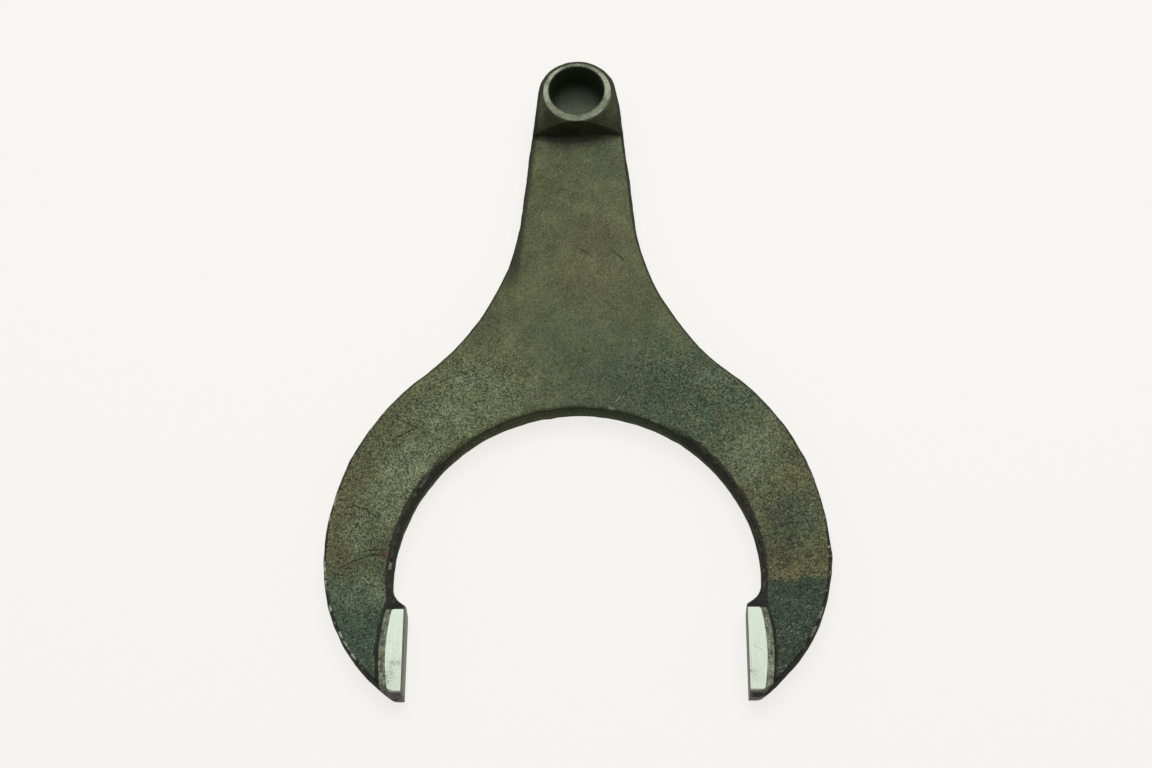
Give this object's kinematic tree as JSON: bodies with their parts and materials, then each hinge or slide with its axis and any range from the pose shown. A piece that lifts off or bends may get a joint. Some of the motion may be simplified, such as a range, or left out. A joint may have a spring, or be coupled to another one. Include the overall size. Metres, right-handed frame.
{
  "type": "differential lock fork",
  "caption": "Flat forged steel shift fork with a blind hub bore, a waisted stem, two curved arms round a wide throat and raised machined pads at both tips.",
  "frame": {"origin": "axis of the blind bore, in the plane of the hub's back seat that the fork lies on", "axes": "+Z along the bore's axis, out of its mouth; +Y from the tips to the hub, along the fork's length; +X across the fork"},
  "size_m": [0.1684, 0.2378, 0.02],
  "materials": {
    "forged_steel": "dark heat-scaled forged steel, matte and grainy"
  },
  "bodies": {
    "root": {"lock_fork": "forged_steel"}
  },
  "joints": []
}
